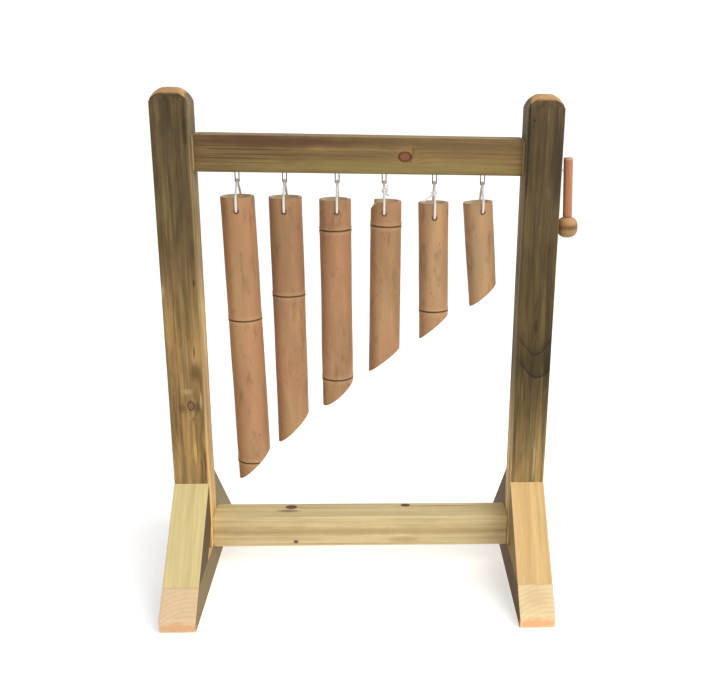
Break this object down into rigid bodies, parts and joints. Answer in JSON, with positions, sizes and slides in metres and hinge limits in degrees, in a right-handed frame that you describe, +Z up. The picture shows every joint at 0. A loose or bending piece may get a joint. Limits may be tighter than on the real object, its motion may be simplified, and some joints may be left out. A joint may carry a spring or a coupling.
{
  "type": "bamboo xylophone",
  "caption": "Free-standing timber frame with bamboo tubes of falling length hung on cord loops under its top rail, and a wooden beater hung on one post.",
  "frame": {"origin": "on the ground, at the centre of the object's box", "axes": "+X along the rails towards the beater, +Y to the back, +Z up"},
  "size_m": [0.7993, 0.492, 0.989],
  "materials": {
    "post_timber": "weathered, pressure-treated softwood",
    "rail_timber": "planed, pressure-treated softwood",
    "foot_timber": "pale planed softwood",
    "bamboo": "dry scraped bamboo",
    "cord": "white braided cord",
    "dark_steel": "dark browned steel wire",
    "zinc": "zinc-plated steel",
    "handle_wood": "oiled reddish hardwood",
    "head_wood": "turned pale wood"
  },
  "bodies": {
    "frame": {"beater_hanging_screw": "zinc", "bottom_rail": "rail_timber", "bottom_rail_screw_left_lower": "zinc", "bottom_rail_screw_left_upper": "zinc", "bottom_rail_screw_right_lower": "zinc", "bottom_rail_screw_right_upper": "zinc", "brace_dowel_left_front": "foot_timber", "brace_dowel_left_rear": "foot_timber", "brace_dowel_right_front": "foot_timber", "brace_dowel_right_rear": "foot_timber", "brace_screw_left_front": "zinc", "brace_screw_left_rear": "zinc", "brace_screw_right_front": "zinc", "brace_screw_right_rear": "zinc", "coach_screw_left": "zinc", "coach_screw_right": "zinc", "coach_washer_left": "zinc", "coach_washer_right": "zinc", "left_bearer": "foot_timber", "left_front_brace": "foot_timber", "left_post": "post_timber", "left_rear_brace": "foot_timber", "right_bearer": "foot_timber", "right_front_brace": "foot_timber", "right_post": "post_timber", "right_rear_brace": "foot_timber", "top_rail": "rail_timber", "top_rail_screw_left_lower": "zinc", "top_rail_screw_left_upper": "zinc", "top_rail_screw_right_lower": "zinc", "top_rail_screw_right_upper": "zinc", "wire_staple_1": "dark_steel", "wire_staple_2": "dark_steel", "wire_staple_3": "dark_steel", "wire_staple_4": "dark_steel", "wire_staple_5": "dark_steel", "wire_staple_6": "dark_steel"},
    "beater": {"beater_handle": "handle_wood", "beater_head": "head_wood"},
    "cord_1": {"hanging_cord_1": "cord"},
    "tube_1": {"bamboo_tube_1": "bamboo"},
    "cord_2": {"hanging_cord_2": "cord"},
    "tube_2": {"bamboo_tube_2": "bamboo"},
    "cord_3": {"hanging_cord_3": "cord"},
    "tube_3": {"bamboo_tube_3": "bamboo"},
    "cord_4": {"hanging_cord_4": "cord"},
    "tube_4": {"bamboo_tube_4": "bamboo"},
    "cord_5": {"hanging_cord_5": "cord"},
    "tube_5": {"bamboo_tube_5": "bamboo"},
    "cord_6": {"hanging_cord_6": "cord"},
    "tube_6": {"bamboo_tube_6": "bamboo"}
  },
  "joints": [
    {"name": "beater_lift", "type": "slide", "parent": "frame", "child": "beater", "axis": [0, 0, 1], "range_m": [0, 0.008]},
    {"name": "swing_1", "type": "hinge", "parent": "frame", "child": "cord_1", "pos_m": [-0.25315, 0.0135, 0.8179], "axis": [1, 0, 0], "range_deg": [-40, 40]},
    {"name": "rock_1", "type": "hinge", "parent": "cord_1", "child": "tube_1", "pos_m": [-0.25315, 0.0135, 0.7657], "axis": [0, 1, 0], "range_deg": [-2.1, 4]},
    {"name": "swing_2", "type": "hinge", "parent": "frame", "child": "cord_2", "pos_m": [-0.16375, 0.0135, 0.8179], "axis": [1, 0, 0], "range_deg": [-40, 40]},
    {"name": "rock_2", "type": "hinge", "parent": "cord_2", "child": "tube_2", "pos_m": [-0.16375, 0.0135, 0.7655], "axis": [0, 1, 0], "range_deg": [-3.5, 2.1]},
    {"name": "swing_3", "type": "hinge", "parent": "frame", "child": "cord_3", "pos_m": [-0.06415, 0.0135, 0.8179], "axis": [1, 0, 0], "range_deg": [-40, 40]},
    {"name": "rock_3", "type": "hinge", "parent": "cord_3", "child": "tube_3", "pos_m": [-0.06415, 0.0135, 0.7655], "axis": [0, 1, 0], "range_deg": [-4.5, 3.2]},
    {"name": "swing_4", "type": "hinge", "parent": "frame", "child": "cord_4", "pos_m": [0.02535, 0.0135, 0.8179], "axis": [1, 0, 0], "range_deg": [-40, 40]},
    {"name": "rock_4", "type": "hinge", "parent": "cord_4", "child": "tube_4", "pos_m": [0.02535, 0.0135, 0.764], "axis": [0, 1, 0], "range_deg": [-5.5, 4.5]},
    {"name": "swing_5", "type": "hinge", "parent": "frame", "child": "cord_5", "pos_m": [0.12185, 0.0135, 0.8179], "axis": [1, 0, 0], "range_deg": [-40, 40]},
    {"name": "rock_5", "type": "hinge", "parent": "cord_5", "child": "tube_5", "pos_m": [0.12185, 0.0135, 0.7565], "axis": [0, 1, 0], "range_deg": [-9, 6]},
    {"name": "swing_6", "type": "hinge", "parent": "frame", "child": "cord_6", "pos_m": [0.21435, 0.0135, 0.8179], "axis": [1, 0, 0], "range_deg": [-40, 40]},
    {"name": "rock_6", "type": "hinge", "parent": "cord_6", "child": "tube_6", "pos_m": [0.21435, 0.0135, 0.769], "axis": [0, 1, 0], "range_deg": [-9, 9]}
  ]
}
